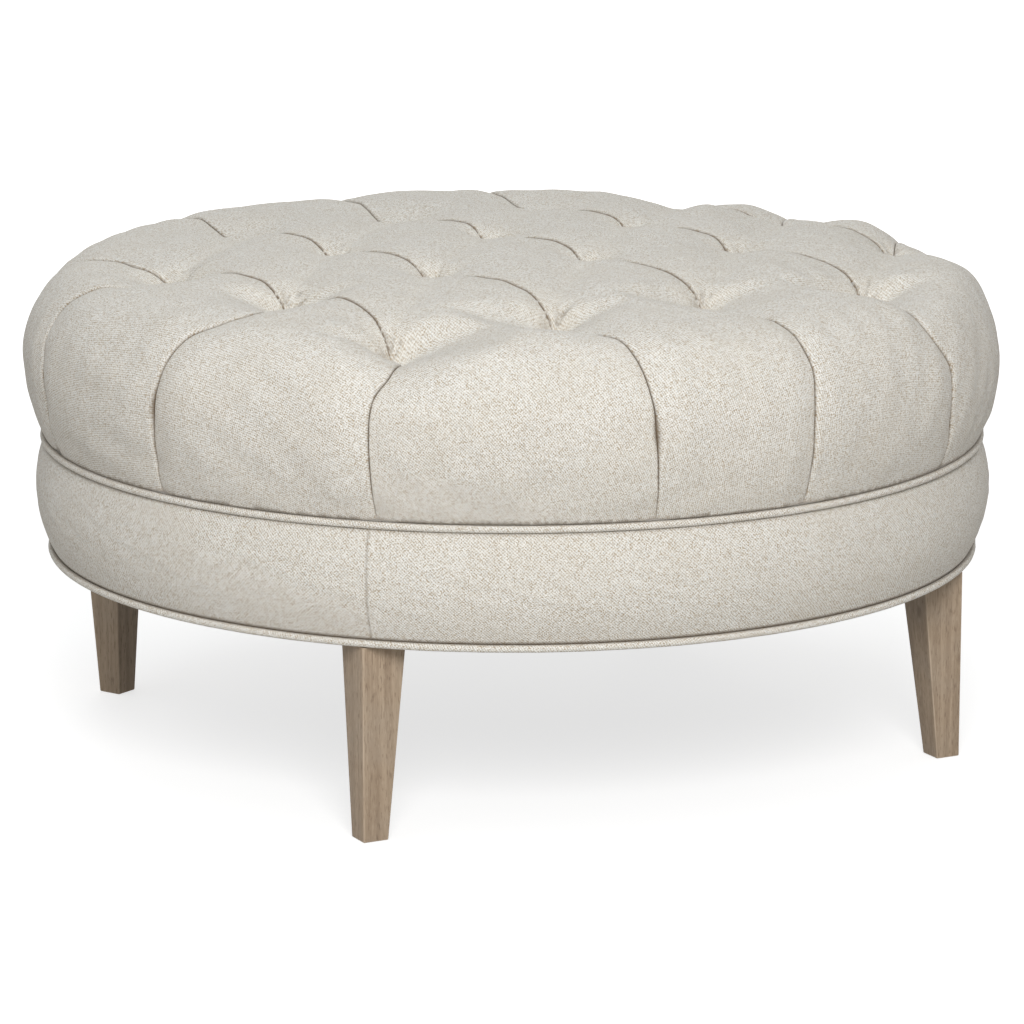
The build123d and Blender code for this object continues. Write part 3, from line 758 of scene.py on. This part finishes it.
def coverShape(flat):    # how far the cloth is drawn in at each place, with sideways lap, painted shade and painted warm bounce light
    c, made = coverSet, Drawn(len(flat))
    radius = farFrom(flat)
    for place in tufts.values():
        drawTuft(made, flat, *place)
    for fold in folds:
        near, signed, share = nearPath(flat, fold.path)
        signed = signed * fold.side
        far = share * norm(np.diff(fold.path, axis=0), axis=1).sum()
        if fold.kind == "soft":
            drawSoft(made, fold, near, share)
        elif fold.kind == "lapped":
            drawLapped(made, fold, near, signed, share)
        else:
            drawBorder(made, flat, fold, near, signed, share, far, radius)
    # painted shade along the rim beside the seam
    made.shade(c.seamShade * softStep(radius, *(clothReach - gap for gap in c.seamShadeAt)))
    drawn = made.wide ** (1 / c.blend) + made.sharp
    waves = np.zeros(len(flat))    # slight slackness of hand-filled puffs
    for size, height in c.waves:
        for _ in range(c.waveCount):
            turn, shift = seedSource.uniform(0, pi), seedSource.uniform(0, shiftMost)
            along = flat[:, 0] * cos(turn) + flat[:, 1] * sin(turn)
            waves += height / 3 * np.sin(along * 2 * pi / size + shift)
    drawn += (waves + c.waveLift) * (1 - softStep(radius, *c.waveEnd))
    most = np.interp(radius, *c.mostAt)
    return np.clip(np.minimum(drawn, most), c.leastDrawn, None), made.lap, made.crease, made.warmth


pointSet = Values(
    offsets=[-0.012, -0.0055, -0.0026, -0.0012, -0.0005, 0.0, 0.0005, 0.0012, 0.0026, 0.0055, 0.012],
    circles=((0.0015, 6), (0.004, 12), (0.0075, 18), (0.012, 26), (0.017, 32), (0.023, 38), (0.030, 44)),
    twist=900,
    grid=0.0052, gridRow=0.866, gridRows=1.16, gridShare=0.52,
    rowGap=0.00042, rimGap=0.0022, rim=960,
)


def coverPoints():    # places on the flat cloth: rows beside every fold and a loose grid between them
    p, rows = pointSet, []
    for fold in folds:
        ways = pathWays(fold.path)
        side = np.stack([-ways[:, 1], ways[:, 0]], 1)
        for off in p.offsets[1::2] if fold.kind == "soft" else p.offsets:
            rows.append(fold.path + side * off)
    for x, y, _ in tufts.values():
        for radius, count in p.circles:
            turn = np.arange(count) * 2 * pi / count + radius * p.twist
            rows.append(np.stack([x + radius * np.cos(turn), y + radius * np.sin(turn)], 1))
        rows.append(np.array([[x, y]]))
    pitch = p.grid
    n = int(clothReach / pitch) + 2
    rowsEachWay = n * p.gridRows
    gx, gy = np.meshgrid(np.arange(-n, n + 1) * pitch, np.arange(-rowsEachWay, rowsEachWay + 1) * pitch * p.gridRow)
    gx = gx + (np.arange(gx.shape[0]) % 2)[:, None] * pitch / 2
    rows.append(np.stack([gx.ravel(), gy.ravel()], 1))
    points = np.concatenate(rows)
    loose = pitch * p.gridShare
    gaps = np.full(len(points), p.rowGap)
    gaps[-len(rows[-1]):] = loose
    inside = farFrom(points) < clothReach - p.rimGap
    # thin out what comes closer than the rows need, first come first kept
    cells, kept = {}, []
    for (x, y), gap in zip(points[inside], gaps[inside]):
        column, row = int(x // loose), int(y // loose)
        beside = (q for i in (-1, 0, 1) for j in (-1, 0, 1) for q in cells.get((column + i, row + j), ()))
        if all((x - qx) ** 2 + (y - qy) ** 2 >= gap * gap for qx, qy in beside):
            cells.setdefault((column, row), []).append((x, y))
            kept.append((x, y))
    turn = np.arange(p.rim) * 2 * pi / p.rim
    edge = np.stack([clothReach * np.cos(turn), clothReach * np.sin(turn)], 1)
    return np.concatenate([edge, np.array(kept)]), p.rim


def borderEdges(faces):    # the edges that one face has alone, as it runs round them
    edges = dict.fromkeys(edge for f in faces for edge in zip(f, f[1:] + f[:1]))
    return [(a, b) for a, b in edges if (b, a) not in edges]


def makeCover():
    c = coverSet
    flat, rim = coverPoints()
    print("cover places:", len(flat))
    loop = [(i, (i + 1) % rim) for i in range(rim)]
    found = geometry.delaunay_2d_cdt([Vector(p) for p in flat], loop, [], 1, mergeGap)
    flat = np.array([(p.x, p.y) for p in found[0]])
    faces = [list(f) for f in found[2]]
    drawn, lap, crease, warmth = coverShape(flat)
    base, normal = onBase(flat + lap)
    points = base - normal * drawn[:, None]
    # rim, skirt and the hollow inside close the form
    border = dict(borderEdges(faces))
    start = next(iter(border))
    ring, at = [start], border[start]
    while at != start:
        ring.append(at)
        at = border[at]
    angles = np.arctan2(flat[ring, 1], flat[ring, 0])
    inner = [(c.seamR + r, c.seam + z) for r, z in c.lip]
    inner += [(c.skirtR + r, c.seam + z) for r, z in c.skirt]
    footR, topR, top = c.skirtIn
    inner += [(c.skirtR, c.skirtFoot), (footR, c.skirtFoot), (topR, c.seam + top)]
    inner += [tuple(p) for p in smoothPath(c.hollow, c.hollowStep)]
    points, uv = list(points), list(flat)
    previous = ring
    for r, z in inner:
        row = list(range(len(points), len(points) + len(ring)))
        points += [(r * cos(a), r * sin(a), z) for a in angles]
        uv += [(clothReach * cos(a) * c.skirtMap, clothReach * sin(a) * c.skirtMap) for a in angles]
        for i in range(len(ring)):
            j = (i + 1) % len(ring)
            faces.append([previous[j], previous[i], row[i], row[j]])
        previous = row
    faces.append(list(reversed(previous)))
    more = len(points) - len(crease)
    piece = newPiece("cushionCover", points, faces, "cloth")
    turn = radians(c.clothTurn)
    giveMap(piece, np.array(uv) @ np.array([[cos(turn), sin(turn)], [-sin(turn), cos(turn)]]))
    giveValue(piece, "crease", np.concatenate([crease, np.zeros(more)]))
    giveValue(piece, "warmth", np.concatenate([warmth, np.zeros(more)]))
    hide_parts("tufted_cover")
    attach(piece, "root")
    print("cover made:", len(points), "points,", len(faces), "faces")


# rings of cloth: closed outlines of (radius, height) turned about the axis; each after the first is a hollow
def turnedPiece(name, outlines, count, finish, wobble, bias=0.0):
    angles = np.arange(count) * 2 * pi / count
    points, faces, uv = [], [], []
    for number, outline in enumerate(outlines):
        outline = np.array(outline, float)
        m = len(outline)
        nextOne = np.roll(outline, -1, 0)
        area = (outline[:, 0] * nextOne[:, 1] - nextOne[:, 0] * outline[:, 1]).sum() / 2
        if (area < 0) == (number == 0):    # outer outlines run one way round, hollows the other
            outline = outline[::-1]
        sides = norm(np.diff(np.append(outline, outline[:1], 0), axis=0), axis=1)
        length = np.concatenate([[0], np.cumsum(sides)])
        r, z = (np.repeat(outline[None, :, k], count, 0) for k in (0, 1))
        dr, dz = wobble(angles[:, None], r, z)
        r, z = r + dr, z + dz
        first = len(points)
        points += list(np.stack([r * np.cos(angles)[:, None], r * np.sin(angles)[:, None], z], 2).reshape(-1, 3))
        around = outlines[0][0][0] * 2 * pi / count
        for i in range(count):
            j = (i + 1) % count
            for k in range(m):
                n = (k + 1) % m
                faces.append((first + i * m + k, first + j * m + k, first + j * m + n, first + i * m + n))
                here, there, low, high = around * i, around * (i + 1), length[k], length[k + 1]
                uv += [(here, low), (there, low), (there, high), (here, high)]
    piece = newPiece(name, points, faces, finish)
    u, v = np.array(uv, np.float32).T
    turned = np.stack([u * cos(bias) - v * sin(bias), u * sin(bias) + v * cos(bias)], 1)
    piece.data.uv_layers.new(name="cloth").data.foreach_set("uv", turned.astype(np.float32).ravel())
    return piece


def waviness(angle, parts, seed):
    source = np.random.default_rng(seed)
    made = 0 * angle
    for count, height in parts:
        made = made + height * np.sin(angle * count + source.uniform(0, shiftMost))
    return made


weltSet = Values(
    outer=0.0035, inner=0.0021, outerSteps=26, innerSteps=15, around=1080, bias=0.25,
    softReach=0.0048, softShare=0.7, soft=[(23, 0.00010), (61, 0.00010), (113, 0.00007), (211, 0.00005)],
    # painted shade on the top of the welt under the seam; an even warm tint on the whole welt
    shade=0.4, shadeAt=(0.0027, 0.0034), warmth=0.10,
    middle={"centre": (0.4643, 0.3033), "from": 0.216, "to": -0.216, "tailLong": 0.0330,
            "tail": [(0.4545, 0.30405), (0.4545, 0.2771), (0.4560, 0.2771), (0.4560, 0.30255)]},
    bottom={"centre": (0.4586, 0.1903), "from": 0.881, "to": 0.350, "tailLong": 0.0262,
            "tail": [(0.4300, 0.1891), (0.4300, 0.1876)]},
)


def makeWelt(name, node, spec):    # a tube of cloth round its cord, its two edges run together as the tail
    w = weltSet
    r0, z0 = spec["centre"]

    def circle(radius, turns):
        return [(r0 + radius * cos(t), z0 + radius * sin(t)) for t in turns]

    def wobble(angle, r, z):
        near = np.exp(-(np.hypot(r - r0, z - z0) / w.softReach) ** 6)
        soft = waviness(angle, w.soft, len(name))
        return soft * near, soft * near * w.softShare

    outer = circle(w.outer, np.linspace(pi + spec["from"], 3 * pi + spec["to"], w.outerSteps))
    inner = circle(w.inner, np.linspace(0, 2 * pi, w.innerSteps)[:-1])
    piece = turnedPiece(name, [outer + spec["tail"], inner], w.around, "cloth", wobble, w.bias)
    height = np.array([v.co.z for v in piece.data.vertices]) - z0
    # painted shade on the welt's top under the seam; the whole welt gets an even share of the warm tint
    giveValue(piece, "crease", w.shade * softStep(height, *w.shadeAt))
    giveValue(piece, "warmth", np.full(len(height), w.warmth))
    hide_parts(node)
    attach(piece, "root")


apronSet = Values(
    topR=0.464, topZ=0.2994, bulgeR=0.473, bulgeZ=0.261, footR=0.457, footZ=0.1938,
    thick=0.0015, around=1440, flatWidth=0.172, arcSteps=400,
    # the outline, from the end turned in at the top round to the inner face
    turnOver=[(0.4560, 0.2851), (0.4560, 0.2994), (0.4600, 0.2995)], faceSteps=30,
    hem=[(0.4548, 0.1923), (0.4548, 0.1891), (0.425, 0.1891), (0.425, 0.1906), (0.4533, 0.1906), (0.4533, 0.1938),
         (0.4555, 0.1953)],
    inside=(0.1962, 0.2970), insideSteps=24, turnIn=[(0.4622, 0.2980), (0.4575, 0.2980), (0.4575, 0.2851)],
    # how far it stands out of true, and where
    waves=[(5, 0.0004), (9, 0.0004), (14, 0.0003), (23, 0.0002)], waveSeed=5,
    slants=[(31, 0.0002), (47, 0.00015)], slantSeed=8, slant=9.0,
    freeR=0.4580, freeMore=0.0018, freeMoreZ=0.28,
    seamAngle=-134.0, groove=0.0009, grooveWide=0.0008, ridge=0.0004, ridgeAt=0.004, ridgeWide=0.003,
    # painted shade along the seam and at the band's edges by the welts
    seamShade=0.35, seamWide=0.0009, seamFoot=0.194,
    outsideR=(0.4615, 0.4556), outsideZ=0.25,
    footShade=0.85, footShadeAt=(0.1945, 0.1972), topShade=0.35, topShadeAt=(0.2975, 0.2990),
)


def arcThrough(a, b, c, count):    # points on the circle through three places
    ax, ay, bx, by, cx, cy = *a, *b, *c
    d = 2 * (ax * (by - cy) + bx * (cy - ay) + cx * (ay - by))
    ux = ((ax**2 + ay**2) * (by - cy) + (bx**2 + by**2) * (cy - ay) + (cx**2 + cy**2) * (ay - by)) / d
    uy = ((ax**2 + ay**2) * (cx - bx) + (bx**2 + by**2) * (ax - cx) + (cx**2 + cy**2) * (bx - ax)) / d
    radius = hypot(ax - ux, ay - uy)
    first, last = atan2(ay - uy, ax - ux), atan2(cy - uy, cx - ux)
    turn = np.linspace(first, last, count)
    return [(ux + radius * cos(t), uy + radius * sin(t)) for t in turn]


def bandShare(z):    # nothing at the foot of the band, one at its top
    return np.clip((z - apronSet.footZ) / (apronSet.topZ - apronSet.footZ), 0, 1)


def bandWave(angle, z):    # how far the band stands out of true: small, and nothing at its edges
    p = apronSet
    soft = waviness(angle, p.waves, p.waveSeed)
    return (soft + waviness(angle + z * p.slant, p.slants, p.slantSeed)) * np.sin(bandShare(z) * pi)


def bandFree(r, z):    # one on the face of the band, nothing at its edges and on what is turned in
    p = apronSet
    return (r > p.freeR + p.freeMore * (z > p.freeMoreZ)) * np.sin(bandShare(z) * pi) ** 0.5


def bandArc(inset, low, high, count):
    p = apronSet
    places = ((p.topR, p.topZ), (p.bulgeR, p.bulgeZ), (p.footR, p.footZ))
    arc = np.array(arcThrough(*places, p.arcSteps))
    return [(np.interp(h, arc[::-1, 1], arc[::-1, 0]) - inset, h) for h in np.linspace(low, high, count)]


def makeApron():    # the band of cloth round the wall, turned over at the top and hemmed under the frame
    p = apronSet
    outline = p.turnOver + bandArc(0.0, p.topZ, p.footZ, p.faceSteps) + p.hem
    outline += bandArc(p.thick, *p.inside, p.insideSteps) + p.turnIn
    seam = radians(p.seamAngle)

    def wobble(angle, r, z):
        gap = turnGap(angle, seam) * p.bulgeR
        groove = -p.groove * bell(gap, p.grooveWide) + p.ridge * bell(gap - p.ridgeAt, p.ridgeWide)
        return (bandWave(angle, z) + groove) * bandFree(r, z), 0 * (r + angle)

    piece = turnedPiece("apronCloth", [outline], p.around, "cloth", wobble)
    x, y, z = np.array([v.co for v in piece.data.vertices]).T
    gap = turnGap(np.arctan2(y, x), seam) * p.bulgeR
    # painted shade along the seam, and at the foot and the top of the band where it meets the welts
    crease = p.seamShade * bell(gap, p.seamWide) * (z > p.seamFoot)
    outside = np.hypot(x, y) > np.where(z > p.outsideZ, *p.outsideR)
    foot, top = p.footShade * (1 - softStep(z, *p.footShadeAt)), p.topShade * softStep(z, *p.topShadeAt)
    giveValue(piece, "crease", np.maximum(crease, outside * (foot + top)))
    giveValue(piece, "warmth", np.zeros(len(x)))
    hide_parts("apron_band")
    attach(piece, "root")


paddingSet = Values(
    inset=0.0017, face=(0.1990, 0.2960), faceSteps=22, foot=[(0.4533, 0.1956), (0.4552, 0.1956)],
    top=[(0.4620, 0.2977), (0.4596, 0.2977), (0.4596, 0.2688), (0.4533, 0.2688)],
)


def makeApronPadding():
    p = paddingSet
    outline = p.foot + bandArc(p.inset, *p.face, p.faceSteps) + p.top

    def wobble(angle, r, z):
        return bandWave(angle, z) * bandFree(r, z), 0 * (r + angle)

    piece = turnedPiece("apronPadding", [outline], apronSet.around, "fibre", wobble)
    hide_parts("apron_padding")
    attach(piece, "root")


fillingSet = Values(merge=0.00001, low=0.3085, hole=0.012, shift=1.3, rise=1.7)


def makeFilling(name, node, finish, size, height):    # foam or fibre in its own form, its skin a little uneven
    s = fillingSet
    piece = bpy.data.objects.new(name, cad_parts[node].data.copy())
    scene.collection.objects.link(piece)
    form = bmesh.new()
    form.from_mesh(piece.data)
    bmesh.ops.remove_doubles(form, verts=form.verts, dist=s.merge)
    for v in form.verts:
        x, y, z = v.co
        if z > s.low and hypot(x, y) > s.hole:
            wave = sin(x / size) * sin(y / size + s.shift) * cos(z / size * s.rise)
            v.co.z += wave * height
    form.to_mesh(piece.data)
    form.free()
    piece.data.materials.clear()
    piece.data.materials.append(finishes[finish])
    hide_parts(node)
    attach(piece, "root")


# dust cover: black cloth, stapled flat at its edge and a little slack in the middle
dustSet = Values(
    radius=0.446, high=0.1870, low=0.1861, boltHole=0.0042, holeMargin=1.6, leg=0.303, square=0.894,
    rings=56, perRing=6.2, rim=360, holeSides=20, slack=0.0035, slackR=0.40,
    spokes=(17, 0.0007, 0.2), ripple=0.0005, rippleX=61, rippleY=47,
)


def circlePoints(radius, count, x=0.0, y=0.0):
    turn = np.arange(count) / count * 2 * pi
    return np.stack([x + radius * np.cos(turn), y + radius * np.sin(turn)], 1)


def makeDustCover():
    d = dustSet
    rows = [np.array([(0.0, 0.0)])]
    for n in range(1, d.rings):
        rows.append(circlePoints(d.radius * n / d.rings, max(6, int(n * d.perRing))))
    inside = np.concatenate(rows)
    holes = [(d.leg * a, d.leg * b) for a, b in ((1, 1), (-1, 1), (-1, -1), (1, -1))]
    places = [circlePoints(d.radius, d.rim)]
    for x, y in holes:
        inside = inside[farFrom(inside - (x, y)) > d.boltHole * d.holeMargin]
        places.append(circlePoints(d.boltHole, d.holeSides, x, y))
    loops, first = [], 0
    for place in places:
        count = len(place)
        loops += [(first + i, first + (i + 1) % count) for i in range(count)]
        first += count
    flat = np.concatenate([*places, inside])
    found = geometry.delaunay_2d_cdt([Vector(p) for p in flat], loops, [], 1, mergeGap)
    flat = np.array([(p.x, p.y) for p in found[0]])
    faces = []
    for face in found[2]:
        middle = flat[list(face)].mean(0)
        if all(dist(middle, hole) > d.boltHole for hole in holes):
            faces.append(list(face))
    x, y = flat.T
    radius, angle = np.hypot(x, y), np.arctan2(y, x)
    slack = np.clip(1 - (radius / d.slackR) ** 2, 0, 1)
    count, height, reach = d.spokes
    drop = d.slack * slack + height * np.sin(angle * count) * slack * radius / reach
    drop = drop + d.ripple * np.sin(x * d.rippleX + 1) * np.sin(y * d.rippleY) * slack
    n = len(flat)
    points = [(*place, level - s) for level in (d.high, d.low) for place, s in zip(flat, drop)]
    sides = [(b, a, a + n, b + n) for a, b in borderEdges(faces)]
    under = [[i + n for i in reversed(f)] for f in faces]
    piece = newPiece("dustCloth", points, faces + under + sides, "dust")
    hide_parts("dust_cover")
    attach(piece, "root")


# legs: a block, its foot drawn in towards the upright corner
legSet = Values(
    height=0.186, top=0.0445, foot=0.0255, place=0.303, edge=0.0011, edgeSteps=3, cuts=3,
    sharpest=50, smoothest=30, level=0.001, flat=0.985,
    turns={"leg_back_right": (0, 0), "leg_back_left": (90, 117), "leg_front_left": (180, 0),
           "leg_front_right": (270, 0)},
)


def makeLeg(node, turn, extra):
    l = legSet
    bpy.ops.object.select_all(action="DESELECT")
    bpy.ops.mesh.primitive_cube_add(size=1.0, location=(0, 0, l.height / 2))
    leg = bpy.context.object
    leg.name = node.replace("_", "-") + "-turned"
    leg.scale = (l.top, l.top, l.height)
    bpy.ops.object.transform_apply(location=True, rotation=False, scale=True)
    mesh = leg.data
    bpy.ops.object.mode_set(mode="EDIT")
    bpy.ops.mesh.select_all(action="DESELECT")
    bpy.ops.mesh.select_mode(type="VERT")
    bpy.ops.object.mode_set(mode="OBJECT")
    for v in mesh.vertices:
        v.select = v.co.z < l.level
    bpy.ops.object.mode_set(mode="EDIT")
    share = l.foot / l.top
    bpy.ops.transform.resize(value=(share, share, 1.0))
    shift = (l.top - l.foot) / 2
    bpy.ops.transform.translate(value=(shift, shift, 0))
    bpy.ops.mesh.select_all(action="SELECT")
    bpy.ops.mesh.subdivide(number_cuts=l.cuts)
    bpy.ops.object.mode_set(mode="OBJECT")
    bevel = leg.modifiers.new("edges", "BEVEL")
    bevel.width, bevel.segments = l.edge, l.edgeSteps
    bevel.limit_method, bevel.angle_limit = "ANGLE", radians(l.sharpest)
    bpy.ops.object.modifier_apply(modifier="edges")
    bpy.ops.object.shade_smooth_by_angle(angle=radians(l.smoothest))
    # bevel faces, which take the painted highlight on the arrises
    worn = [not max(abs(p.normal.x), abs(p.normal.y), abs(p.normal.z)) > l.flat for p in mesh.polygons]
    mesh.attributes.new("arris", "FLOAT", "FACE").data.foreach_set("value", np.array(worn, np.float32))
    ownTurn, ringTurn = (Matrix.Rotation(radians(angle), 4, "Z") for angle in (extra, turn))
    mesh.transform(ringTurn @ Matrix.Translation((l.place, l.place, 0)) @ ownTurn)
    mesh.materials.clear()
    mesh.materials.append(finishes["leg"])
    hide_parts(node)
    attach(leg, "root")


# floor and world
floorSet = Values(
    sides=96, radius=22.0, height=-0.0004, farAt=(0.6, 3.0),
    plain=(0.62, 0.61, 0.59), bright=(0.55, 0.55, 0.55), glow=(0.70, 0.70, 0.70), farGlow=(0.92, 0.92, 0.92),
)


def straightRays(tree):    # one for what is seen directly, in a mirror or through glass
    rays = tree.nodes.new("ShaderNodeLightPath")
    kinds = ("Camera", "Glossy", "Transmission")
    direct, glossy, through = (Wire(tree, rays.outputs["Is " + kind + " Ray"]) for kind in kinds)
    return direct.maths("MAXIMUM", glossy).maths("MAXIMUM", through)


def addFloor():
    s = floorSet
    bpy.ops.object.select_all(action="DESELECT")
    bpy.ops.mesh.primitive_circle_add(vertices=s.sides, radius=s.radius, fill_type="NGON",
                                      location=(0, 0, s.height))
    floor = bpy.context.object
    floor.name = "paleFloor"
    f = Finish("paleFloor")
    far = f.ramp(f.node("VectorMath", {"operation": "LENGTH"}, out=1, i0=f.place()), *s.farAt)
    plain = f.node("BsdfDiffuse", Color=s.plain)
    bright = f.node("BsdfDiffuse", Color=s.bright)
    glow = f.node("Emission", Color=f.mix(far, s.glow, s.farGlow), Strength=1.0)
    both = f.node("MixShader", i0=straightRays(f.tree), i1=plain, i2=f.node("AddShader", i0=bright, i1=glow))
    below = f.node("NewGeometry", out=6)
    whole = f.node("MixShader", i0=below, i1=both, i2=f.node("BsdfTransparent"))
    output = f.tree.nodes.new("ShaderNodeOutputMaterial")
    f.tree.links.new(whole.socket, output.inputs[0])
    floor.data.materials.append(f.material)


def addWorld():
    world = bpy.data.worlds.new("studioWorld")
    scene.world = world
    world.use_nodes = True
    tree = world.node_tree
    tree.nodes.clear()
    strength = straightRays(tree) * (1.0 - lightSet.world) + lightSet.world
    background = tree.nodes.new("ShaderNodeBackground")
    background.inputs[0].default_value = lightSet.worldTint
    tree.links.new(strength.socket, background.inputs[1])
    output = tree.nodes.new("ShaderNodeOutputWorld")
    tree.links.new(background.outputs[0], output.inputs[0])


addCamera()
addFloor()
addWorld()
for lampName, lamp in lightSet.lamps.items():
    addLight(lampName, lamp)
print("camera, floor and light set")
makeCover()
makeWelt("middleWelt", "middle_welt", weltSet.middle)
makeWelt("bottomWelt", "bottom_welt", weltSet.bottom)
print("welts made")
makeApron()
makeApronPadding()
print("apron made")
makeFilling("foamCore", "foam_core", "foam", 0.021, 0.0006)
makeFilling("fibreWrap", "fibre_wrap", "fibre", 0.012, 0.0004)
makeDustCover()
print("fillings and dust cover made")
for node, (turn, extra) in legSet.turns.items():
    makeLeg(node, turn, extra)
print("legs made")

scene.view_settings.view_transform = "Standard"
